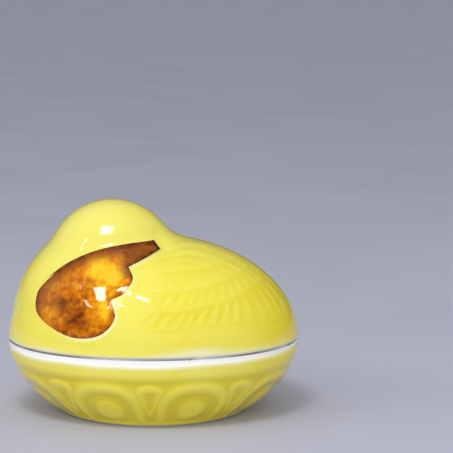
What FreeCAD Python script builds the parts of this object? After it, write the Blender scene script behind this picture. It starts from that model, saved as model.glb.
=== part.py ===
"""Incense box in the form of a sleeping duck: a glazed porcelain bowl and the duck that is its lid.

Two porcelain pieces come apart: the bowl, carved with lotus petals, and the lid, which lifts
straight up off a locating lip. Each carries a coat of yellow glaze that stops short of the rim,
where the white porcelain shows, and the duck's turned face and bill are a field of amber glaze.

Millimetres. X runs from the breast (-X) to the tail (+X), Z is up, and the amber face is on the -Y
flank. The origin is on the table, under the middle of the rim.
"""

import FreeCAD, Part
import math
import os

# Outside of the box
LENGTH = 72.0
WIDTH = 56.0
RIM_HEIGHT = 17.9
BOWL_DROP = 22.9  # from the rim down to where the bowl would close, seen from the side
SIDE_DROP = 26.2  # the same seen from the end, where the bowl stands steeper
BACK_RISE = 25.3  # from the rim up to the top of the back

# Head: a dome over the breast, measured like the back
HEAD_LENGTH = 30.4
HEAD_WIDTH = 27.2
HEAD_TOP = 34.4  # from the rim up to the crown
HEAD_DEPTH = 28.4
HEAD_SETBACK = 0.28  # of the half length, from the middle towards the breast

# Breast: a rounder mass inside the front of the body, as shares of the body's radii
BREAST_SETBACK = 0.25
BREAST_RISE = 0.197
BREAST_SHARES = (0.712, 0.785, 0.9695)
HOLLOW_RADIUS = 0.8  # softness of the hollows where head, breast and back meet
HOLLOW_RISE = 16.0  # above the rim the hollows reach their full softness

# Porcelain
BOWL_WALL = 3.6
LID_WALL = 3.4
FLOOR_THICKNESS = 3.2
FOOT_RING_WIDTH = 2.8
FOOT_RECESS = 0.9
RIM_EASE = 0.25  # eased outer edge of both rims; the two make the dark seam

# Seat of the lid: a lip on the bowl inside a rebate in the lid
LIP_HEIGHT = 2.0
LIP_THICKNESS = 1.6
LIP_CLEARANCE = 0.35
LIP_HEADROOM = 0.6

# Glaze
GLAZE_THICKNESS = 0.3
BOWL_BARE_RIM = 1.3
LID_BARE_RIM = 0.25
FOOT_BARE_RIM = 0.5
AMBER_RAISE_HEIGHT = 0.25
RELIEF_DEPTH = 0.5  # the porcelain lies this much deeper under the lid's carved glaze
RELIEF_FADE = 4.0  # above the lid's bare rim it gets there over this height

# Lotus petals round the bowl, half widths in degrees and heights above the table
PETAL_PAIRS = 8
PETAL_DEPTH = 0.5
PETAL_TIP_HEIGHT = 10.6
PETAL_SHOULDER_HEIGHT = 2.5
PETAL_HALF_ANGLE = 17.0
SMALL_PETAL_TIP_HEIGHT = 11.5
SMALL_PETAL_SHOULDER_HEIGHT = 9.0
SMALL_PETAL_FOOT_HEIGHT = 2.6
SMALL_PETAL_HALF_ANGLE = 7.4
DIMPLE_FOOT_HEIGHT = 3.5  # a three-cornered hollow in each small petal
DIMPLE_TOP_HEIGHT = 10.2
BAND_FOOT_HEIGHT = 14.0  # the smooth band under the rim ends here
BAND_FADE = 2.8
FOOT_FADE = 1.5  # the petals run out over this height above the bare foot
PETAL_EVENING = 4.5  # degrees that keep the petals evenly wide round the oval

# Feather rows on the wings, heights above the rim
WING_FOOT_HEIGHT = 6.7
WING_ROWS = 4
FEATHER_ROW_HEIGHT = 4.35
FEATHER_DEPTH = 0.3
WING_FRONT_X = -1.0
WING_FADE = 2.0
WING_MIDDLE_X = 4.5  # the rows lie lowest here
WING_SWEEP_LENGTH = 20.0  # this far from there
WING_SWEEP_RISE = 4.0  # the rows have risen this much
BACK_GAP = 2.0  # half the smooth gap between the wings
BACK_GAP_FADE = 5.0

# The amber field seen from the side, as shares of the half length and of the back's rise
BILL_TIP = ((0.015, 1.013), (0.061, 0.941))
UNDER_BILL = ((-0.053, 0.863), (-0.144, 0.805))
CHEEK = ((-0.113, 0.702), (-0.148, 0.602))
FACE_NOTCH = (-0.252, 0.519)
FACE = (
    (-0.22, 0.381),
    (-0.297, 0.232),
    (-0.448, 0.168),
    (-0.632, 0.224),
    (-0.771, 0.368),
    (-0.761, 0.552),
    (-0.61, 0.767),
    (-0.409, 0.917),
    (-0.191, 0.991),
)
FACE_REACH = 0.09  # the field stops this share of the half width short of the middle

# How finely the surfaces are drawn
BOWL_COLUMNS = 64
PETAL_COLUMNS = 32 * PETAL_PAIRS
BOWL_LEVELS = 26
LID_COLUMNS = 96
LID_LEVELS = 56
CROWN_FLAT = 0.02  # height of the tiny flat that closes the lid at the crown

half_length = LENGTH / 2
half_width = WIDTH / 2
head_x = -HEAD_SETBACK * half_length
seat_inset = BOWL_WALL - LIP_THICKNESS
glaze_top = RIM_HEIGHT - BOWL_BARE_RIM


def step(value, start, end):
    """0 before start, 1 after end, eased between them."""
    share = min(1.0, max(0.0, (value - start) / (end - start)))
    return share * share * (3 - 2 * share)


def bump(value, centre, spread):
    """1 at the centre, eased down to 0 at spread on both sides."""
    return 1 - step(abs(value - centre), 0.0, spread)


# Surfaces


def band(rings, degree=3):
    """One face through closed rings of points, curved along the rings and, at degree 3, across."""
    columns = len(rings[0])
    spans = len(rings) - degree
    surface = Part.BSplineSurface()
    surface.buildFromPolesMultsKnots(
        rings,
        [degree + 1] + [1] * (spans - 1) + [degree + 1],
        [1] * (columns + 1),
        [float(k) for k in range(spans + 1)],
        [float(k) for k in range(columns + 1)],
        False,
        True,
        degree,
        3,
    )
    return surface.toShape()


def poles(points):
    """Poles of the closed cubic curve that passes through the points."""
    before = points[-1:] + points[:-1]
    after = points[1:] + points[:1]
    return [p * (4 / 3) - (b + a) * (1 / 6) for p, b, a in zip(points, before, after)]


def level(*rings):
    """A level face inside one ring, or between two."""
    wires = []
    for ring in rings:
        curve = Part.BSplineCurve()
        count = len(ring)
        knots = [float(k) for k in range(count + 1)]
        curve.buildFromPolesMultsKnots(ring, [1] * (count + 1), knots, True, 3)
        wires.append(Part.Wire(curve.toShape()))
    return Part.makeFace(wires, "Part::FaceMakerBullseye")


def solid(faces):
    """Sews faces that share their rings into one solid."""
    shell = Part.makeShell(faces)
    shell.sewShape()
    made = Part.Solid(shell if shell.ShapeType == "Shell" else shell.Shells[0])
    if made.Volume < 0:
        made.reverse()
    return made


# The bowl


def carved_zone(height):
    """1 where the bowl is carved, 0 on the smooth band under the rim and at the foot."""
    above = step(height, BAND_FOOT_HEIGHT - BAND_FADE, BAND_FOOT_HEIGHT)
    return step(height, FOOT_BARE_RIM, FOOT_BARE_RIM + FOOT_FADE) * (1 - above)


def petal_relief(turn, height):
    """Depth of the carving at an angle round the bowl and a height: 0 on ridges and bosses."""
    even = turn + 90 + PETAL_EVENING * math.sin(2 * math.radians(turn + 90))
    pitch = 360 / PETAL_PAIRS
    from_small = abs((even + pitch / 2) % pitch - pitch / 2)
    from_big = abs(even % pitch - pitch / 2)

    tall = PETAL_TIP_HEIGHT - PETAL_SHOULDER_HEIGHT
    rise = max(0.0, height - PETAL_SHOULDER_HEIGHT) / tall
    big = ((from_big / PETAL_HALF_ANGLE) ** 2.6 + rise**2.6) ** (1 / 2.6)
    ridge = bump(big, 0.98, 0.3)
    boss = 1 - step(big, 0.3, 0.68)

    tall = SMALL_PETAL_SHOULDER_HEIGHT - SMALL_PETAL_FOOT_HEIGHT
    spread = min(1.0, max(0.0, (height - SMALL_PETAL_FOOT_HEIGHT) / tall))
    half_angle = SMALL_PETAL_HALF_ANGLE * (0.06 + 0.94 * spread)
    tall = SMALL_PETAL_TIP_HEIGHT - SMALL_PETAL_SHOULDER_HEIGHT
    rise = max(0.0, height - SMALL_PETAL_SHOULDER_HEIGHT) / tall
    small = math.hypot(from_small / half_angle, rise)
    tall = DIMPLE_TOP_HEIGHT - DIMPLE_FOOT_HEIGHT
    dimple = 0.75 * (1 - step(small, 0.2, 0.72))
    dimple *= step(height, DIMPLE_FOOT_HEIGHT, DIMPLE_FOOT_HEIGHT + 0.37 * tall)
    dimple *= 1 - step(height, DIMPLE_TOP_HEIGHT - 0.24 * tall, DIMPLE_TOP_HEIGHT)
    narrow = 0.9 * (1 - step(small, 0.72, 1.2)) * (1 - dimple) * step(big, 1.0, 1.16)
    raised = max(ridge, boss, narrow)
    return -PETAL_DEPTH * carved_zone(height) * (1 - raised)


def bowl_ring(height, inset, carved=False, narrower=0.0):
    """A ring of the bowl at a height, moved in from the outside by inset."""
    depth = max(0.0, RIM_HEIGHT - height)
    long_size = (half_length - inset) * math.sqrt(1 - (depth / (BOWL_DROP - inset)) ** 2)
    wide_size = (half_width - inset) * math.sqrt(1 - (depth / (SIDE_DROP - inset)) ** 2)
    columns = PETAL_COLUMNS if carved else BOWL_COLUMNS
    points = []
    for column in range(columns):
        turn = 360 * column / columns
        out = petal_relief(turn, height) if carved else -narrower
        x = (long_size + out) * math.cos(math.radians(turn))
        y = (wide_size + out) * math.sin(math.radians(turn))
        points.append(FreeCAD.Vector(x, y, height))
    return poles(points)


def bowl_heights(top, bottom, count):
    """Heights from top to bottom, evenly spread over the bowl's curve."""
    first = math.asin((RIM_HEIGHT - top) / BOWL_DROP)
    last = math.asin((RIM_HEIGHT - bottom) / BOWL_DROP)
    tilts = [first + (last - first) * n / count for n in range(count + 1)]
    heights = [RIM_HEIGHT - BOWL_DROP * math.sin(tilt) for tilt in tilts]
    return [top] + heights[1:-1] + [bottom]


def porcelain_skin():
    """The porcelain under the glaze: plain, and deeper where the glaze is carved."""
    heights = bowl_heights(glaze_top, FOOT_BARE_RIM, BOWL_LEVELS)
    sunk = [PETAL_DEPTH * carved_zone(height) for height in heights]
    return [bowl_ring(h, GLAZE_THICKNESS, narrower=n) for h, n in zip(heights, sunk)]


def make_bowl():
    """The porcelain bowl: bare rim and foot, and the lip that holds the lid."""
    inside_floor = FOOT_RECESS + FLOOR_THICKNESS
    skin = porcelain_skin()
    rim_edge = bowl_ring(RIM_HEIGHT, GLAZE_THICKNESS + RIM_EASE)
    rim_side = bowl_ring(RIM_HEIGHT - RIM_EASE, GLAZE_THICKNESS)
    seat = bowl_ring(RIM_HEIGHT, seat_inset)
    lip_out = bowl_ring(RIM_HEIGHT + LIP_HEIGHT, seat_inset)
    lip_in = bowl_ring(RIM_HEIGHT + LIP_HEIGHT, BOWL_WALL)
    inside_top = bowl_ring(RIM_HEIGHT, BOWL_WALL)
    inside_heights = bowl_heights(RIM_HEIGHT, inside_floor, 12)
    inside = [bowl_ring(height, BOWL_WALL) for height in inside_heights]
    foot_out = bowl_ring(0.0, GLAZE_THICKNESS)
    foot_in = bowl_ring(0.0, GLAZE_THICKNESS, narrower=FOOT_RING_WIDTH)
    recess = [point + FreeCAD.Vector(0, 0, FOOT_RECESS) for point in foot_in]
    return solid(
        [
            band([rim_edge, rim_side], 1),
            band([rim_side, skin[0]], 1),
            band(skin),
            band([skin[-1], foot_out], 1),
            level(foot_out, foot_in),
            band([foot_in, recess], 1),
            level(recess),
            level(inside[-1]),
            band(inside),
            band([inside_top, lip_in], 1),
            level(lip_in, lip_out),
            band([lip_out, seat], 1),
            level(seat, rim_edge),
        ]
    )


def make_bowl_glaze():
    """The yellow glaze on the bowl, carved with petals, from under the rim to above the foot."""
    heights = bowl_heights(glaze_top, FOOT_BARE_RIM, BOWL_LEVELS)
    under = porcelain_skin()
    over = [bowl_ring(height, 0.0, carved=True) for height in heights]
    return solid([band(under), band(over), level(under[0], over[0]), level(under[-1], over[-1])])


# The lid


def ellipsoid_distance(point, centre, radii):
    """About how far a point lies outside an ellipsoid."""
    near = [(p - c) / r for p, c, r in zip(point, centre, radii)]
    size = math.sqrt(sum(v * v for v in near))
    slope = math.sqrt(sum((v / r) ** 2 for v, r in zip(near, radii))) + 1e-9
    return size * (size - 1.0) / slope


def duck_distance(point):
    """About how far a point lies outside the duck's skin. Heights count from the rim."""
    body = (half_length, half_width, BACK_RISE)
    breast = [share * radius for share, radius in zip(BREAST_SHARES, body)]
    breast_centre = (-BREAST_SETBACK * half_length, 0, BREAST_RISE * BACK_RISE)
    head = (HEAD_LENGTH / 2, HEAD_WIDTH / 2, HEAD_DEPTH / 2)
    head_centre = (head_x, 0, HEAD_TOP - HEAD_DEPTH / 2)
    distances = [
        ellipsoid_distance(point, (0, 0, 0), body),
        ellipsoid_distance(point, breast_centre, breast),
        ellipsoid_distance(point, head_centre, head),
    ]
    nearest = min(distances)
    softness = HOLLOW_RADIUS * min(1.0, 0.02 + point[2] / HOLLOW_RISE)
    shares = sum(math.exp((nearest - distance) / softness) for distance in distances)
    return nearest - softness * math.log(shares)


def reach(height, direction, inset, sunk=0.0):
    """Where a ray from the axis of the head meets the duck's skin.

    The skin is moved in by inset, and by sunk more away from the rim.
    """
    start = (head_x, 0.0, height)
    near, far = 0.0, LENGTH
    near_value, far_value = -1.0, 1.0
    for attempt in range(40):
        share = 0.5 if attempt % 3 == 2 else near_value / (near_value - far_value)
        travel = near + (far - near) * share
        point = [s + travel * d for s, d in zip(start, direction)]
        deeper = step(point[2], LID_BARE_RIM, LID_BARE_RIM + RELIEF_FADE)
        value = duck_distance(point) + inset + sunk * deeper
        if abs(value) < 1e-7:
            break
        if value < 0:
            near, near_value = travel, value
        else:
            far, far_value = travel, value
    return point


def feather_relief(point):
    """Height of the wing's feather rows at a point of the lid, in steps like roof tiles."""
    x, y, height = point
    sweep = WING_SWEEP_RISE * ((x - WING_MIDDLE_X) / WING_SWEEP_LENGTH) ** 2
    row = (height - sweep - WING_FOOT_HEIGHT) / FEATHER_ROW_HEIGHT
    inside = step(row, -0.25, 0.0) * (1 - step(row, WING_ROWS - 1.0, WING_ROWS))
    inside *= step(x, WING_FRONT_X - WING_FADE, WING_FRONT_X + WING_FADE)
    inside *= step(abs(y), BACK_GAP, BACK_GAP + BACK_GAP_FADE)
    share = row % 1.0
    return -FEATHER_DEPTH * inside * share * (1 - step(share, 0.86, 1.0))


def lid_ring(height, inset, sunk=0.0):
    """A level ring of the lid at a height above the rim."""
    points = []
    for column in range(LID_COLUMNS):
        turn = 2 * math.pi * column / LID_COLUMNS
        x, y, z = reach(height, (math.cos(turn), math.sin(turn), 0.0), inset, sunk)
        points.append(FreeCAD.Vector(x, y, z + RIM_HEIGHT))
    return poles(points)


def lid_skin(first_height, inset, levels, sunk=0.0, feathered=False):
    """Rings over the lid, from a level ring above the rim to a tiny level ring at the crown."""
    top = reach(0.0, (0, 0, 1), inset, sunk)[2] - CROWN_FLAT
    first_ring = lid_ring(first_height, inset, sunk)
    last_ring = lid_ring(top, inset, sunk)
    rings = [[] for _ in range(levels - 1)]
    for column in range(LID_COLUMNS):
        turn = 2 * math.pi * column / LID_COLUMNS
        tilts = []
        for ring in (first_ring, last_ring):
            away = math.hypot(ring[column].x - head_x, ring[column].y)
            tilts.append(math.atan2(ring[column].z - RIM_HEIGHT, away))
        for number, ring in enumerate(rings, 1):
            tilt = tilts[0] + (tilts[1] - tilts[0]) * number / levels
            ray = (
                math.cos(turn) * math.cos(tilt),
                math.sin(turn) * math.cos(tilt),
                math.sin(tilt),
            )
            point = reach(0.0, ray, inset, sunk)
            if feathered:
                out = feather_relief(point)
                point = [p + out * r for p, r in zip(point, ray)]
            ring.append(FreeCAD.Vector(point[0], point[1], point[2] + RIM_HEIGHT))
    return [first_ring] + [poles(ring) for ring in rings] + [last_ring]


def porcelain_lid_skin():
    """The lid's porcelain under the glaze: plain, and deeper where the glaze is carved."""
    return lid_skin(LID_BARE_RIM, GLAZE_THICKNESS, LID_LEVELS // 2, sunk=RELIEF_DEPTH)


def make_lid():
    """The porcelain lid: hollow duck with a rebate that drops over the bowl's lip."""
    rebate_top = LIP_HEIGHT + LIP_HEADROOM
    skin = porcelain_lid_skin()
    rim_edge = lid_ring(0.0, GLAZE_THICKNESS + RIM_EASE)
    rim_side = lid_ring(RIM_EASE, GLAZE_THICKNESS)
    rebate_foot = lid_ring(0.0, seat_inset - LIP_CLEARANCE)
    rebate = [point + FreeCAD.Vector(0, 0, rebate_top) for point in rebate_foot]
    inside = lid_skin(rebate_top, LID_WALL, LID_LEVELS // 2)
    return solid(
        [
            level(rim_edge, rebate_foot),
            band([rim_edge, rim_side], 1),
            band([rim_side, skin[0]], 1),
            band(skin),
            level(skin[-1]),
            band([rebate_foot, rebate], 1),
            level(rebate, inside[0]),
            band(inside),
            level(inside[-1]),
        ]
    )


def lid_coat(under, over):
    """A coat of glaze between two skins of the lid."""
    return solid(
        [band(under), band(over), level(under[0], over[0]), level(under[-1]), level(over[-1])]
    )


def face_outline():
    """The prism, across the near flank, that marks off the amber field."""

    def place(share):
        return FreeCAD.Vector(
            share[0] * half_length, -WIDTH, RIM_HEIGHT + share[1] * BACK_RISE
        )

    def curve(*shares):
        spline = Part.BSplineCurve()
        spline.interpolate([place(share) for share in shares])
        return spline.toShape()

    edges = [
        Part.makeLine(place(BILL_TIP[0]), place(BILL_TIP[1])),
        curve(BILL_TIP[1], *UNDER_BILL),
        curve(UNDER_BILL[-1], *CHEEK, FACE_NOTCH),
        curve(FACE_NOTCH, *FACE, BILL_TIP[0]),
    ]
    depth = WIDTH - FACE_REACH * half_width
    return Part.Face(Part.Wire(edges)).extrude(FreeCAD.Vector(0, depth, 0))


def make_lid_glazes():
    """The yellow glaze of the lid with the face left out, and the thicker amber in its place."""
    under = porcelain_lid_skin()
    face = face_outline()
    yellow = lid_coat(under, lid_skin(LID_BARE_RIM, 0.0, LID_LEVELS, feathered=True))
    amber = lid_coat(under, lid_skin(LID_BARE_RIM, -AMBER_RAISE_HEIGHT, LID_LEVELS // 2))
    return yellow.cut(face), amber.common(face)


lid_yellow, lid_amber = make_lid_glazes()
nodes = {
    "base_body": make_bowl(),
    "base_yellow_glaze": make_bowl_glaze(),
    "lid_body": make_lid(),
    "lid_yellow_glaze": lid_yellow,
    "lid_amber_glaze": lid_amber,
}
os.makedirs("parts", exist_ok=True)
for name, shape in nodes.items():
    shape.exportStep(f"parts/{name}.step")
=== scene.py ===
import math
import bpy
import numpy as np
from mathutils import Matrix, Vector


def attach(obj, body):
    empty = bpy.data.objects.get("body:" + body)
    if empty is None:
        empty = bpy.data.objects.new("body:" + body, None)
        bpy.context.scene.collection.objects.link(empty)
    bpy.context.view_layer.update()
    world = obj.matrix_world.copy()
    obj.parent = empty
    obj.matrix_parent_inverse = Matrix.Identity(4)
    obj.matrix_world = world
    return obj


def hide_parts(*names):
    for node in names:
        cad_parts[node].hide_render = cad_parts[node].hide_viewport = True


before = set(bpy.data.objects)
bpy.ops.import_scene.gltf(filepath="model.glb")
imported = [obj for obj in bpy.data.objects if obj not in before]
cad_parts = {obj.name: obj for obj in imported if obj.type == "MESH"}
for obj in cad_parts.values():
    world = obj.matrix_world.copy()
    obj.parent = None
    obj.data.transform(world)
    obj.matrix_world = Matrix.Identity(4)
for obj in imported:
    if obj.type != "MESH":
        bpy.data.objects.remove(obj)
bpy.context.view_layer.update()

MM = 0.001


# Camera. The box was photographed from about half a metre with a long lens, a little above the rim
# and slightly to the right of the middle.
camera = bpy.data.objects.new("camera", bpy.data.cameras.new("camera"))
bpy.context.collection.objects.link(camera)
camera.location = (0.01812, -0.450, 0.1112)
camera.rotation_euler = (math.radians(81.687), 0, 0)
camera.data.sensor_width = 36
camera.data.lens = 146.45
bpy.context.scene.camera = camera


# Bowl glaze. A press-moulded porcelain bowl, oval, with eight broad lotus petals and eight narrow
# ones behind them, glazed yellow down to the foot. The glaze stops in a soft wavy edge about 1.3 mm
# under the rim, and lies deeper in colour where it pools in the carving. All sizes are millimetres.
HALF_LENGTH, HALF_WIDTH, RIM = 36.0, 28.0, 17.9
BOWL_DROP, SIDE_DROP = 22.9, 26.2  # how far under the rim its long and wide ovals would close
GLAZE = 0.3
GLAZE_PROUD = GLAZE + 0.03  # the coat stands this little above the solid's skin
BARE_RIM = 1.3
FOOT_GAP = 0.12
CARVING_DEPTH = 0.42
CARVED_FROM, CARVED_TO = (0.5, 2.0), (11.2, 14.0)  # heights over which the carving fades in and out


def step(value, start, end):
    """Rises smoothly from 0 at start to 1 at end."""
    share = np.clip((value - start) / (end - start), 0, 1)
    return share * share * (3 - 2 * share)


def bump(value, centre, spread):
    return 1 - step(np.abs(value - centre), 0.0, spread)


def petals(turn, height):
    """How far the carving stands: 1 on the ridges and bosses, 0 on the ground between them."""
    pitch, evening = 45.0, 4.5  # degrees; the petals crowd a little towards the oval's ends
    big_half, big_foot, big_height, squareness = 17.0, 2.5, 8.1, 2.6
    boss_half, boss_height, boss_rise = 9.2, 4.4, 3.3
    small_half, small_foot, small_shoulder, small_rise = 7.4, 2.6, 9.0, 2.5

    front = turn + 90
    even = front + evening * np.sin(2 * np.radians(front))
    from_small = np.abs((even + pitch / 2) % pitch - pitch / 2)
    from_big = np.abs(even % pitch - pitch / 2)

    rise = np.maximum(0, height - big_foot) / big_height
    big = ((from_big / big_half) ** squareness + rise**squareness) ** (1 / squareness)
    ridge = bump(big, 0.98, 0.3)
    from_boss = np.hypot(from_big / boss_half, (height - boss_height) / boss_rise)
    boss = 1 - step(from_boss, 0.5, 1.15)

    half = small_half * (0.06 + 0.94 * np.clip((height - small_foot) / 6.8, 0, 1))
    small = np.hypot(from_small / half, np.maximum(0, height - small_shoulder) / small_rise)
    hollow = 0.75 * (1 - step(small, 0.2, 0.72)) * step(height, 3.5, 6.0) * (1 - step(height, 8.6, 10.2))
    narrow = (1 - step(small, 0.72, 1.2)) * (1 - hollow) * step(big, 1.0, 1.16)
    return np.maximum(np.maximum(ridge, boss), 0.9 * narrow)


def waves(angle, parts):
    """A hand-cut, uneven line, as a sum of sines given by height, count and phase."""
    return sum(height * np.sin(count * angle + phase) for height, count, phase in parts)


def bead(distance, width, thickness):
    """Thickness of a coat of glaze that runs out to nothing at its edge in a rounded bead."""
    share = np.clip(distance / width, 0, 1)
    return thickness * np.sqrt(1 - (1 - share) ** 2)


def closed_rings(name, front, back, attributes):
    """A coat of glaze from rings of points on its front and its back, joined into one closed skin.

    The attributes are painted on the front for the material, and are 0 on the back.
    """
    rings = np.concatenate([front, back])
    count, columns = rings.shape[:2]
    first = np.arange(count)[:, None] * columns
    second = np.roll(np.arange(count), -1)[:, None] * columns
    here = np.arange(columns)
    after = np.roll(here, -1)
    faces = np.stack([first + here, first + after, second + after, second + here], -1)
    data = bpy.data.meshes.new(name)
    data.from_pydata((rings.reshape(-1, 3) * MM).tolist(), [], faces.reshape(-1, 4).tolist())
    for label, values in attributes.items():
        painted = np.zeros(rings.shape[:2])
        painted[: len(front)] = values
        data.attributes.new(label, "FLOAT", "POINT").data.foreach_set("value", painted.ravel())
    data.polygons.foreach_set("use_smooth", np.ones(len(data.polygons), bool))
    data.update()
    piece = bpy.data.objects.new(name, data)
    bpy.context.collection.objects.link(piece)
    return piece


def bowl_points(turn, height, inset, out):
    """Points on the bowl's outside, its skin moved in by inset and then out level by out."""
    depth = RIM - height
    long_size = (HALF_LENGTH - inset) * np.sqrt(1 - (depth / (BOWL_DROP - inset)) ** 2)
    wide_size = (HALF_WIDTH - inset) * np.sqrt(1 - (depth / (SIDE_DROP - inset)) ** 2)
    x = (long_size + out) * np.cos(np.radians(turn))
    y = (wide_size + out) * np.sin(np.radians(turn))
    return np.stack([x, y, height + 0 * x], -1)


turn = np.linspace(-180, 180, 640, endpoint=False)[None, :]
wave = waves(np.radians(turn), [(0.16, 3, 0.6), (0.1, 7, 0), (0.07, 13, 1.9)])
top = np.arcsin((BARE_RIM + wave) / BOWL_DROP)
foot = np.arcsin((RIM - FOOT_GAP) / BOWL_DROP)
share = np.concatenate(
    [np.linspace(0, 0.05, 9)[:-1], np.linspace(0.05, 0.97, 96), np.linspace(0.97, 1, 6)[1:]]
)
along = top + (foot - top) * share[:, None]
height = RIM - BOWL_DROP * np.sin(along)
edge = BOWL_DROP * np.minimum(along - top, foot - along)
ground = (1 - step(height, *CARVED_TO)) * step(height, *CARVED_FROM)
carved = petals(turn, height)
coat = bead(edge, 0.8, GLAZE_PROUD)
outer = bowl_points(turn, height, GLAZE_PROUD - coat, CARVING_DEPTH * ground * (carved - 1))
back = foot + (top - foot) * np.linspace(0.02, 0.98, 12)[:, None]
inner = bowl_points(turn, RIM - BOWL_DROP * np.sin(back), 1.4, 0)
bowl_glaze = closed_rings(
    "bowl_yellow_glaze", outer, inner,
    {"pool": ground * (1 - carved), "thin": 1 - step(edge, -0.2, 1.5), "face_line": 0},
)
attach(bowl_glaze, "base")
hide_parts("base_yellow_glaze")


# Yellow glaze. A bright, glossy lead glaze over white clay: pale and almost cream where it is thin,
# on ridges and along its edge, ochre where it has run together, faintly clouded everywhere.
YELLOW_BY_DEPTH = [
    (0.1, (0.90, 0.82, 0.15)),
    (0.4, (0.87, 0.77, 0.085)),
    (0.75, (0.82, 0.70, 0.04)),
    (1.0, (0.76, 0.63, 0.02)),
]
# The dome colour is a painted sheen, and the foot and head-end colours are painted shade.
CREAM, FACE_LINE, DOME_SHEEN, FOOT_SHADE, END_SHADE, TAIL, IRON_SPECK = (
    (0.94, 0.93, 0.84), (0.93, 0.87, 0.48), (0.84, 0.81, 0.33), (0.90, 0.87, 0.33),
    (0.93, 0.88, 0.3), (0.95, 0.86, 0.15), (0.30, 0.20, 0.05),
)


class Shade:
    """Makes and joins nodes in the tree of a material or of a node group."""

    def __init__(self, tree):
        self.tree = tree

    def feed(self, value, socket):
        """Puts a number or colour into a socket, or links another socket to it."""
        if isinstance(value, bpy.types.NodeSocket):
            self.tree.links.new(value, socket)
        elif isinstance(value, tuple):
            socket.default_value = (*value, 1)
        else:
            socket.default_value = value

    def node(self, kind, values, **settings):
        made = self.tree.nodes.new("ShaderNode" + kind)
        for name, value in settings.items():
            setattr(made, name, value)
        for name, value in values.items():
            self.feed(value, made.inputs[name])
        return made

    def noise(self, scale, detail, distortion=0.0):
        place = self.node("TexCoord", {}).outputs["Object"]
        values = {"Vector": place, "Scale": scale, "Detail": detail, "Distortion": distortion}
        return self.node("TexNoise", values).outputs["Fac"]

    def ramp(self, value, stops):
        made = self.node("ValToRGB", {"Fac": value})
        while len(made.color_ramp.elements) < len(stops):
            made.color_ramp.elements.new(0.5)
        for element, (position, colour) in zip(made.color_ramp.elements, stops):
            element.position = position
            element.color = (*colour, 1) if isinstance(colour, tuple) else (colour,) * 3 + (1,)
        return made.outputs[0]

    def mixed(self, kind, share, first, second):
        values = {0: share, 6: first, 7: second}
        return self.node("Mix", values, data_type="RGBA", blend_type=kind).outputs[2]

    def number(self, operation, first, second=0.0, third=0.0):
        values = {0: first, 1: second, 2: third}
        return self.node("Math", values, operation=operation).outputs[0]

    def axes(self):
        place = self.node("TexCoord", {}).outputs["Object"]
        return self.node("SeparateXYZ", {0: place}).outputs

    def painted(self, name):
        return self.node("Attribute", {}, attribute_name=name).outputs["Fac"]

    def bumps(self, height, distance):
        return self.node("Bump", {"Height": height, "Distance": distance}).outputs[0]


def new_material(name):
    """An empty material with its shader, and the means to build its nodes."""
    material = bpy.data.materials.new(name)
    material.use_nodes = True
    material.node_tree.nodes.clear()
    shade = Shade(material.node_tree)
    surface = shade.node("BsdfPrincipled", {})
    shade.node("OutputMaterial", {"Surface": surface.outputs[0]})
    return material, shade, surface


def new_group(name, inputs, output):
    """An empty node group with number sockets, its input sockets and where its output is fed."""
    tree = bpy.data.node_groups.new(name, "ShaderNodeTree")
    for label in inputs:
        tree.interface.new_socket(label, in_out="INPUT", socket_type="NodeSocketFloat")
    tree.interface.new_socket(output, in_out="OUTPUT", socket_type="NodeSocketFloat")
    given = tree.nodes.new("NodeGroupInput").outputs
    made = tree.nodes.new("NodeGroupOutput").inputs[output]
    return tree, Shade(tree), given, made


# specks: iron spots in clay and glaze, full strength where the noise is under Solid, none above Clear
specks, shade, given, made = new_group("specks", ("Scale", "Solid", "Clear", "Strength"), "Mask")
spots = {"Value": shade.noise(given["Scale"], 1), "From Min": given["Solid"], "From Max": given["Clear"]}
spots |= {"To Min": given["Strength"], "To Max": 0.0}
shade.feed(shade.node("MapRange", spots).outputs[0], made)

# glaze_swell: the soft unevenness of a run glaze, with some of its fine grain on top
glaze_swell, shade, given, made = new_group("glaze_swell", ("Grain", "Share"), "Height")
shade.feed(shade.number("MULTIPLY_ADD", given["Grain"], given["Share"], shade.noise(260, 2)), made)

yellow, shade, surface = new_material("yellow_glaze")
clouds = shade.noise(90, 3, 0.4)
fine = shade.noise(900, 4)
depth = shade.number("MULTIPLY_ADD", clouds, 0.5, shade.painted("pool"))
depth = shade.number("MULTIPLY_ADD", fine, 0.12, depth)
colour = shade.ramp(depth, YELLOW_BY_DEPTH)
colour = shade.mixed("MIX", shade.painted("thin"), colour, CREAM)
colour = shade.mixed("MIX", shade.painted("face_line"), colour, FACE_LINE)
x, _, z = shade.axes()
# Painted sheen: the upper head, most on its left, is mixed towards a pale colour that stands in for
# reflected light.
high = shade.ramp(shade.number("MULTIPLY", z, 18), [(0.45, 0.0), (0.95, 1.0)])
near_head = shade.ramp(shade.number("MULTIPLY_ADD", x, 25, 0.6), [(0.1, 1.0), (0.8, 0.15)])
dome_sheen = shade.number("MULTIPLY", shade.number("MULTIPLY", high, near_head), 0.45)
colour = shade.mixed("MIX", dome_sheen, colour, DOME_SHEEN)
# Painted shade: the glaze is multiplied darker and deeper yellow towards the foot.
up = shade.number("MULTIPLY", z, 60)
colour = shade.mixed("MULTIPLY", shade.ramp(up, [(0.3, 1.0), (0.74, 0.0)]), colour, FOOT_SHADE)
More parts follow.
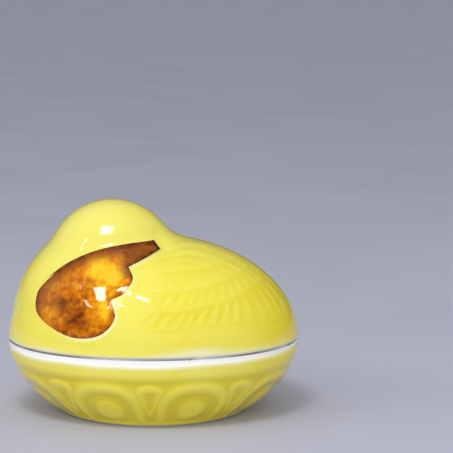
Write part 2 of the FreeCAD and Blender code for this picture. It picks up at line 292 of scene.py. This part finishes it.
# Painted shade: the glaze is multiplied darker and deeper yellow low on the head end.
head_end_shade = shade.ramp(shade.number("MULTIPLY", x, -28), [(0.5, 0.0), (0.95, 1.0)])
head_end_shade = shade.number("MULTIPLY", head_end_shade, shade.ramp(up, [(0.55, 1.0), (1.0, 0.0)]))
colour = shade.mixed("MULTIPLY", head_end_shade, colour, END_SHADE)
tail_end = shade.ramp(shade.number("MULTIPLY", x, 28), [(0.55, 0.0), (1.0, 1.0)])
colour = shade.mixed("MULTIPLY", tail_end, colour, TAIL)
spots = {"Scale": 420, "Solid": 0.165, "Clear": 0.18, "Strength": 0.7}
spots = shade.node("Group", spots, node_tree=specks).outputs["Mask"]
shade.feed(shade.mixed("MULTIPLY", spots, colour, IRON_SPECK), surface.inputs["Base Color"])
shade.feed(shade.number("MULTIPLY_ADD", fine, 0.08, 0.07), surface.inputs["Roughness"])
surface.inputs["Coat Weight"].default_value = 0.6
surface.inputs["Coat Roughness"].default_value = 0.04
swell = shade.node("Group", {"Grain": fine, "Share": 0.12}, node_tree=glaze_swell).outputs["Height"]
shade.feed(shade.bumps(swell, 0.0001), surface.inputs["Normal"])
bowl_glaze.data.materials.append(yellow)


# Lid glaze. The duck's rounded body, breast and head in one skin, with rows of feathers on both
# wings, carved as shallow steps with slanting barbs. The glaze ends just above the rim, and dips
# under the amber of the face.
HEAD_X = -10.08
DUCK = (  # centre and half sizes of body, breast and head; heights count from the rim
    ((0, 0, 0), (36, 28, 25.3)),
    ((-9.0, 0, 4.984), (25.632, 21.98, 24.528)),
    ((HEAD_X, 0, 20.2), (15.2, 13.6, 14.2)),
)
SOFTNESS = 0.8  # of the union of the three
HALVINGS = 30  # steps of each search for the skin
FEATHER_STEP, BARB_DEPTH, RIDGE_DEPTH = 0.15, 0.07, 0.06
STROKES = [1.8, 1.1, 0.35, 0.25, 0.0]  # how deep the barbs are cut in each row, from below


def bell(value, centre, spread):
    return np.exp(-(((value - centre) / spread) ** 2))


def ellipsoid_distance(points, centre, radii):
    near = (points - np.array(centre)) / np.array(radii)
    size = np.sqrt((near**2).sum(-1))
    slope = np.sqrt(((near / np.array(radii)) ** 2).sum(-1)) + 1e-9
    return size * (size - 1) / slope


def duck_distance(points):
    """About how far points lie outside the duck's skin. Heights count from the rim."""
    parts = np.stack([ellipsoid_distance(points, centre, radii) for centre, radii in DUCK])
    nearest = parts.min(0)
    softness = SOFTNESS * np.clip(0.02 + points[..., 2] / 16.0, 0.01, 1)
    return nearest - softness * np.log(np.exp((nearest - parts) / softness).sum(0))


def reach(start, ray, inset):
    """Where rays cross the duck's skin, moved in by inset."""
    near, far = np.zeros(ray.shape[:-1]), np.full(ray.shape[:-1], 72.0)
    for _ in range(HALVINGS):
        middle = (near + far) / 2
        inside = duck_distance(start + middle[..., None] * ray) < -inset
        near, far = np.where(inside, middle, near), np.where(inside, far, middle)
    return start + middle[..., None] * ray


def outline():
    """The amber field's edge seen from the side: x, and height above the rim."""
    bill_below = [(2.2, 23.81), (-1.92, 21.83), (-5.2, 20.36)]
    upper_lobe = [(-5.2, 20.36), (-4.06, 17.77), (-5.33, 15.24), (-9.06, 13.14)]
    lower_lobe_and_top = [
        (-9.06, 13.14), (-7.92, 9.64), (-10.68, 5.86), (-16.13, 4.26), (-22.75, 5.66), (-27.77, 9.32),
        (-27.38, 13.96), (-21.97, 19.4), (-14.73, 23.2), (-6.87, 25.06), (0.54, 25.64),
    ]
    bill_end = [(0.54, 25.64), (2.2, 23.81)]
    spacing = 0.2
    line = []
    for run in (bill_below, upper_lobe, lower_lobe_and_top, bill_end):
        run = np.array(run)
        away = np.concatenate([[0], np.cumsum(np.hypot(*np.diff(run, axis=0).T))])
        places = np.linspace(0, away[-1], int(away[-1] / spacing) + 2)[:-1]
        if len(run) == 2:
            line.append(np.stack([np.interp(places, away, run[:, k]) for k in (0, 1)], -1))
            continue
        slope = np.gradient(run, away, axis=0)
        piece = np.searchsorted(away, places, side="right") - 1
        piece = np.clip(piece, 0, len(run) - 2)
        span = (away[piece + 1] - away[piece])[:, None]
        s = ((places - away[piece]) / span[:, 0])[:, None]
        line.append(
            (2 * s**3 - 3 * s**2 + 1) * run[piece]
            + (s**3 - 2 * s**2 + s) * span * slope[piece]
            + (3 * s**2 - 2 * s**3) * run[piece + 1]
            + (s**3 - s**2) * span * slope[piece + 1]
        )
    return np.concatenate(line)


face_edge = outline()


def face_distance(x, z):
    """Distance outside the amber field's edge, negative inside it, and the nearest edge point."""
    flat = np.stack([x.ravel(), z.ravel()], -1)
    best = np.full(len(flat), 1e9)
    which = np.zeros(len(flat), int)
    for n, corner in enumerate(face_edge):
        away = ((flat - corner) ** 2).sum(-1)
        closer = away < best
        best[closer], which[closer] = away[closer], n
    inside = np.zeros(len(flat), bool)
    for a, b in zip(face_edge, np.roll(face_edge, -1, 0)):
        crosses = (a[1] > flat[:, 1]) != (b[1] > flat[:, 1])
        at = a[0] + (flat[:, 1] - a[1]) / (b[1] - a[1] + 1e-12) * (b[0] - a[0])
        inside ^= crosses & (flat[:, 0] < at)
    away = np.sqrt(best) * np.where(inside, -1, 1)
    return away.reshape(x.shape), face_edge[which].reshape(*x.shape, 2)


def feathers(x, y, z):
    """Relief of the wing in millimetres, and how deep it lies for the colour."""
    row_height = 4.4
    row_feet = [
        6.7 + 1.0 * step(x, 5, 18) - 1.2 * step(x, 18, 27),
        11.05 + 0.0105 * (x - 4.5) ** 2,
        15.4 + 0.01 * (x - 4.5) ** 2,
        19.7 + 0.006 * (x - 5) ** 2,
        23.5 + 0.002 * (x - 5) ** 2,
    ]
    row = np.minimum(0, (z - row_feet[0]) / row_height)
    for low, high in zip(row_feet, row_feet[1:]):
        row = row + np.clip((z - low) / (high - low), 0, 1)
    row = np.where(z > row_feet[-1], 4 + (z - row_feet[-1]) / 4, row)
    number_of = np.floor(row)
    share = row - number_of
    front_end = step(x - 3 * step(z, 9, 12), -3.5, 1.5)
    wing = front_end * (1 - step(x, 31, 34.5)) * step(np.abs(y), 1.0, 6.0)
    inside = step(row, -0.2, 0.02) * (1 - step(row, 3.2, 3.9)) * wing
    tile = -share * (1 - step(share, 0.84, 1.0))

    about = np.degrees(np.arctan2(np.abs(y), x - 2))
    slant = 1.9 * step(about, 22, 70)
    phase = (about + slant * (share - 0.5) * row_height) / 6.6 + 0.37 * number_of
    phase = phase + 0.08 * np.sin(1.7 * phase + number_of)
    barb = 0.5 + 0.5 * np.cos(2 * np.pi * phase)
    lens = np.sin(np.pi * np.clip(share * 1.08, 0, 1)) ** 0.8
    strength = np.choose(np.clip(number_of, 0, 4).astype(int), STROKES)
    strength = strength * (0.75 + 0.25 * np.sin(0.9 * phase + 2.1 * number_of))
    stroke = strength * lens * (barb**1.6 - 0.35)

    over = z + 0.022 * (x - 7) ** 2
    patch = step(over, 19.8, 21.2) * (1 - step(over, 24.0, 25.2)) * step(z, 17.6, 19)
    patch = patch * step(x, 1.5, 5) * (1 - step(x, 21.5, 24.5))
    patch = patch * (1 - 0.75 * bump(x, 15, 3)) * step(np.abs(y), 1.0, 4.0)
    ridges = np.cos(2 * np.pi * over / 1.35 + 0.6 * np.sin(0.5 * x))

    fading = 1 - 0.55 * step(row, 1.6, 2.4)
    rise = inside * (FEATHER_STEP * tile * fading + BARB_DEPTH * stroke) + RIDGE_DEPTH * patch * ridges
    deep = inside * np.clip(0.25 * -tile + 0.1 - 0.3 * stroke, 0, 1)
    return rise, deep


def rays(turn, tilt):
    """Directions from inside the head, by their turn round it and their tilt above the level."""
    level = np.cos(tilt)
    return np.stack([np.cos(turn) * level, np.sin(turn) * level, np.sin(tilt) + 0 * turn], -1)


turn = np.linspace(-math.pi, math.pi, 600, endpoint=False)[None, :]
wave = waves(turn, [(0.14, 2, 2.1), (0.09, 5, 0.0), (0.07, 11, 0.5)])
axis = np.array([HEAD_X, 0, 0])
edge_height = (0.24 + 0.15 * wave)[..., None]
border = reach(axis + np.array([0, 0, 1]) * edge_height, rays(turn, 0 * turn), 0.0)
from_axis = np.hypot(border[..., 0] - HEAD_X, border[..., 1])
low = np.arctan2(border[..., 2], from_axis)
share = np.concatenate([np.linspace(0, 0.03, 8)[:-1], np.linspace(0.03, 0.9985, 165)])[:, None]
tilt = low + (math.pi / 2 - low) * share
ray = rays(turn, tilt)
skin = reach(axis, ray, 0.0)
x, y, z = skin[..., 0], skin[..., 1], skin[..., 2]
edge = (tilt - low) * from_axis
rise, pool = feathers(x, y, z)

away, nearest = face_distance(x, z)
away = np.where(y < -2, away, 99.0)  # the far side has no face
near_x, near_z = nearest[..., 0], nearest[..., 1]
calm = step(away, 0.3, 2.2)
valley = bell(away, 0.9, 1.3) * step(near_z, 12, 19) * step(away, -0.5, 0.2)
beside = step(near_x, -13, -10) * (1 - step(near_z, 12.9, 13.6)) * bell(away, 0.45, 0.4)
sunk = 1 - step(away, -0.9, -0.1)
fold = bell(z + 0.45 * (x + 5.6), 15.4, 1.8) * step(x, -7, -5.5) * (1 - step(x, 0, 6)) * step(-y, 0, 4)
rise = rise * calm + 0.2 * beside - 0.4 * valley - 0.55 * sunk + 0.3 * fold
coat = bead(edge, 0.7, GLAZE_PROUD)
outer = reach(axis, ray, GLAZE_PROUD - coat) + rise[..., None] * ray
inner_tilt = low + (math.pi / 2 - low) * np.linspace(0.97, 0.02, 12)[:, None]
inner = reach(axis, rays(turn, inner_tilt), 1.3)

about = np.degrees(turn)
pale = 0.75 * (1 - step(edge, -0.2, 1.4 + 3 * wave))
for where, spread, strength, upto in ((-50, 9, 0.6, 3.2), (-16, 6, 0.7, 2.6)):
    pale = np.maximum(pale, strength * bell(about, where, spread) * (1 - step(edge, 0.5, upto)))
line = (1 - step(np.abs(away - 0.22), 0.12, 0.5)) * step(near_x - 0.5 * near_z, -27, -16)
above = near_z > 0.23 * near_x + 22.9
line = line * np.where(above, 0.2, np.where(near_z > 13.3, 0.55, 0.9))
lid_glaze = closed_rings(
    "lid_yellow_glaze", outer + np.array([0, 0, RIM]), inner + np.array([0, 0, RIM]),
    {"pool": pool * calm, "thin": pale, "face_line": np.where(away < 50, line, 0)},
)
lid_glaze.data.materials.append(yellow)
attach(lid_glaze, "lid")
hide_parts("lid_yellow_glaze")


# Amber glaze. The face and the bill, tucked along the back, under a thick brown glaze that has run
# golden on the cheek and almost black along the upper rim and the tip of the bill. It is brushed on
# after the yellow, ends in a bead, and lies in small folds where the lobes meet.
AMBER_BY_DEPTH = [
    (0.0, (0.07, 0.012, 0.002)),
    (0.22, (0.24, 0.05, 0.002)),
    (0.45, (0.50, 0.13, 0.002)),
    (0.68, (0.76, 0.26, 0.003)),
    (0.95, (0.97, 0.55, 0.015)),
]
VEIL, MILK = (0.135, 0.033, 0.006), (0.55, 0.25, 0.08)
AMBER_BEAD, AMBER_SWELL, AMBER_BED = 0.34, 0.16, 0.12


def glow(x, z, at, spread):
    return np.exp(-(((x - at[0]) / spread[0]) ** 2 + ((z - at[1]) / spread[1]) ** 2))


def glows(x, z, places):
    """Soft round spots, each by its strength, place and half sizes."""
    return sum(strength * glow(x, z, at, spread) for strength, at, spread in places)


centre = np.array([-12.0, 18.8])
share = np.concatenate([np.linspace(0.0005, 0.9, 48), np.linspace(0.9, 1, 23)[1:]])[:, None, None]
flat = centre + (face_edge - centre) * share
x, z = flat[..., 0], flat[..., 1]
inside, nearest = face_distance(x, z)
inside = np.maximum(0, -inside)
inside[-1] = 0
right = step(x, -11, -8)
stem = bell(z - 0.22 * (x + 2), 23.2, 1.3) * step(x, -9, -5)
groove = np.logaddexp(0, np.minimum(x + 14.0, 4.5) / 0.5) / 7 * (1 - step(x, -10.5, -9.2))
groove = groove * step(z, 11.6, 13.2) * (1 - step(z, 15.5, 19))
ledge = (1 - right) * step(z, 12.8, 16) * (1 - step(z, 16, 20.5))
shelf = right * np.minimum(0.4 * np.logaddexp(0, (z - 16.1) / 0.4), 4.8) * step(inside, 0.0, 1.6)
thick = bead(inside, 0.55, AMBER_BEAD) + AMBER_SWELL * step(inside, 0, 1.8) - AMBER_SWELL
thick = thick + 0.2 * stem - 0.5 * groove - 0.22 * ledge - 0.1 * shelf
start = np.stack([x, 0 * x - 60, z], -1)
near, far = np.full(x.shape, 30.0), np.full(x.shape, 58.0)
inward = np.array([0, 1.0, 0])
for _ in range(HALVINGS):
    middle = (near + far) / 2
    outside = duck_distance(start + middle[..., None] * inward) > thick - AMBER_BED
    near, far = np.where(outside, middle, near), np.where(outside, far, middle)
face = start + middle[..., None] * inward
under = face[::6][::-1] + np.array([0, 1.2, 0])

gold = glows(x, z, [
    (0.5, (-12.2, 20.6), (3.4, 2.6)),
    (0.5, (-7.6, 18.7), (2.2, 2.4)),
    (0.35, (-10.6, 17), (2.6, 1.8)),
    (0.42, (-10.9, 11.6), (2.8, 2.8)),
    (0.2, (-25, 9.6), (2.4, 1.6)),
])
dark = glows(x, z, [
    (0.28, (-20.5, 12.2), (2.6, 2)),
    (0.32, (-17, 9.1), (2, 1.6)),
    (0.2, (-13.8, 17.3), (0.7, 0.7)),
    (0.16, (-18.5, 6.5), (4, 2)),
])
upper = step(nearest[..., 1] - 0.45 * nearest[..., 0], 18.5, 22)
rim_strength = 0.55 + 0.4 * upper - 0.9 * glow(x, z, (-25, 8), (4, 3))
rim = (1 - step(inside, 0.0, 1.3)) * np.clip(rim_strength, 0, 1)
edge_line = (0.24 - 0.12 * upper) * (1 - step(inside, 0.05, 0.4))
tip = glow(x, z, (1.5, 24.8), (1.6, 1.4))
tone = 0.5 + gold - dark - 0.36 * rim - edge_line - 0.25 * tip
bill = step(x, -9.5, -5) * step(z, 20.6, 22.4)
haze = np.maximum(bill, upper * (1 - step(inside, 0.9, 3.4))) * step(inside, 0.05, 0.5)
brow = (1 - step(x, -9.5, -7)) * step(z - 1.3 * step(x, -15, -13), 15, 16.7)
bill_root = step(glow(x, z, (-6.4, 21.4), (2.6, 2.0)), 0.2, 0.7)
dull = np.maximum(np.maximum(brow, 0.5 * haze), bill_root)
milk = 0.2 * np.clip(1.4 * glow(x, z, (-25.0, 13.0), (4.2, 5.5)), 0, 1) * step(inside, 0.2, 1.5)
amber_glaze = closed_rings(
    "lid_amber_glaze", face + np.array([0, 0, RIM]), under + np.array([0, 0, RIM]),
    {"tone": tone, "haze": haze * (1 - 0.6 * tip), "dull": dull, "milk": milk},
)

amber, shade, surface = new_material("amber_glaze")
mottle = shade.noise(700, 10, 0.3)
depth = shade.number("MULTIPLY_ADD", mottle, 1.05, shade.painted("tone"))
depth = shade.number("MULTIPLY_ADD", shade.noise(150, 3, 0.8), 0.4, depth)
colour = shade.ramp(shade.number("SUBTRACT", depth, 0.73), AMBER_BY_DEPTH)
veil = shade.number("MULTIPLY", shade.painted("haze"), shade.number("MULTIPLY_ADD", mottle, 0.6, 0.35))
colour = shade.mixed("MIX", veil, colour, VEIL)
colour = shade.mixed("MIX", shade.painted("milk"), colour, MILK)
shade.feed(colour, surface.inputs["Base Color"])
rough = shade.number("MULTIPLY_ADD", mottle, 0.05, 0.04)
dull = shade.painted("dull")
shade.feed(shade.number("MULTIPLY_ADD", dull, 0.6, rough), surface.inputs["Roughness"])
shade.feed(shade.number("MULTIPLY_ADD", dull, -1.0, 1.0), surface.inputs["Coat Weight"])
surface.inputs["Specular IOR Level"].default_value = 0.2
swell = shade.node("Group", {"Grain": mottle, "Share": 0.15}, node_tree=glaze_swell).outputs["Height"]
shade.feed(shade.bumps(swell, 0.00012), surface.inputs["Normal"])
amber_glaze.data.materials.append(amber)
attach(amber_glaze, "lid")
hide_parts("lid_amber_glaze")


# Porcelain. The bare clay at both rims, inside and under the foot: fine white, silky from sanding,
# with a trace of warm stain and a few grey specks, and a thin line of painted shadow along the seam.
# The last colour is the painted shadow in the seam.
WARM_WHITE, WHITE, CLAY_SPECK, SEAM_SHADOW = (
    (0.96, 0.95, 0.93), (0.98, 0.98, 0.97), (0.45, 0.40, 0.34), (0.15, 0.125, 0.075),
)
SEAM = 0.01784  # metres, as the nodes read places
porcelain, shade, surface = new_material("white_porcelain")
stain_and_shadow_noise = shade.noise(70, 4, 0.5)
grain = shade.noise(1800, 4)
colour = shade.ramp(stain_and_shadow_noise, [(0.3, WARM_WHITE), (0.7, WHITE)])
spots = {"Scale": 700, "Solid": 0.22, "Clear": 0.25, "Strength": 0.6}
spots = shade.node("Group", spots, node_tree=specks).outputs["Mask"]
colour = shade.mixed("MULTIPLY", spots, colour, CLAY_SPECK)
x, y, z = shade.axes()
# Painted shadow: a thin dark line along the seam's outer edge, broken up by the stain noise.
from_seam = shade.number("ABSOLUTE", shade.number("SUBTRACT", z, SEAM))
near_seam = shade.ramp(shade.number("MULTIPLY", from_seam, 1 / MM), [(0.14, 1.0), (0.30, 0.0)])
across = shade.number("POWER", shade.number("MULTIPLY", y, HALF_LENGTH / HALF_WIDTH), 2)
out = shade.number("MULTIPLY_ADD", x, x, across)
out = shade.number("MULTIPLY", out, 1 / (HALF_LENGTH * MM) ** 2)
seam_shadow = shade.number("MULTIPLY", near_seam, shade.ramp(out, [(0.955, 0.0), (0.972, 1.0)]))
seam_shadow = shade.number("MULTIPLY", seam_shadow, shade.ramp(stain_and_shadow_noise, [(0.38, 0.45), (0.6, 1.0)]))
shade.feed(shade.mixed("MIX", seam_shadow, colour, SEAM_SHADOW), surface.inputs["Base Color"])
shade.feed(shade.number("MULTIPLY_ADD", grain, 0.25, 0.3), surface.inputs["Roughness"])
shade.feed(shade.bumps(grain, 0.00004), surface.inputs["Normal"])
for name in ("base_body", "lid_body"):
    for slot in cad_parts[name].material_slots:
        slot.material = porcelain


# Floor, light and surroundings: a plain pale floor under one soft overhead lamp, a little in front
# and to the left, with even light from all round.
bpy.ops.mesh.primitive_plane_add(size=40, location=(0, 0, -0.00005))
floor = bpy.context.object
floor.name = "floor"
pale_blue, shade, surface = new_material("floor")
stops = [(0.3, (0.485, 0.49, 0.60)), (0.7, (0.52, 0.525, 0.635))]
shade.feed(shade.ramp(shade.noise(14, 3), stops), surface.inputs["Base Color"])
surface.inputs["Roughness"].default_value = 0.7
floor.data.materials.append(pale_blue)

for name, place, size, power, mirrored in (
    ("overhead", (-0.08, -0.27, 0.53), (0.16, 0.14), 0.96, True),
    ("small", (-0.335, -0.26, 0.41), (0.03, 0.04), 0.035, True),
    ("left", (-0.55, -0.25, 0.35), (0.4, 0.4), 0.62, False),
    ("front", (0.12, -1.30, 0.38), (1.2, 0.8), 6.0, False),
):
    light = bpy.data.objects.new(name, bpy.data.lights.new(name, "AREA"))
    light.data.shape = "RECTANGLE"
    light.data.size, light.data.size_y = size
    light.data.energy = power
    light.visible_glossy = mirrored
    light.location = place
    aim = Vector((0, 0, 0.03)) - light.location
    light.rotation_euler = aim.to_track_quat("-Z", "Y").to_euler()
    bpy.context.collection.objects.link(light)

world = bpy.data.worlds.new("world")
world.use_nodes = True
sky = world.node_tree.nodes["Background"]
sky.inputs["Color"].default_value = (0.97, 0.98, 1, 1)
shade = Shade(world.node_tree)
mirrored = shade.node("LightPath", {}).outputs["Is Glossy Ray"]  # the room is darker than its light
shade.feed(shade.number("MULTIPLY_ADD", mirrored, -0.54, 0.62), sky.inputs["Strength"])
bpy.context.scene.world = world
bpy.context.scene.view_settings.view_transform = "Standard"
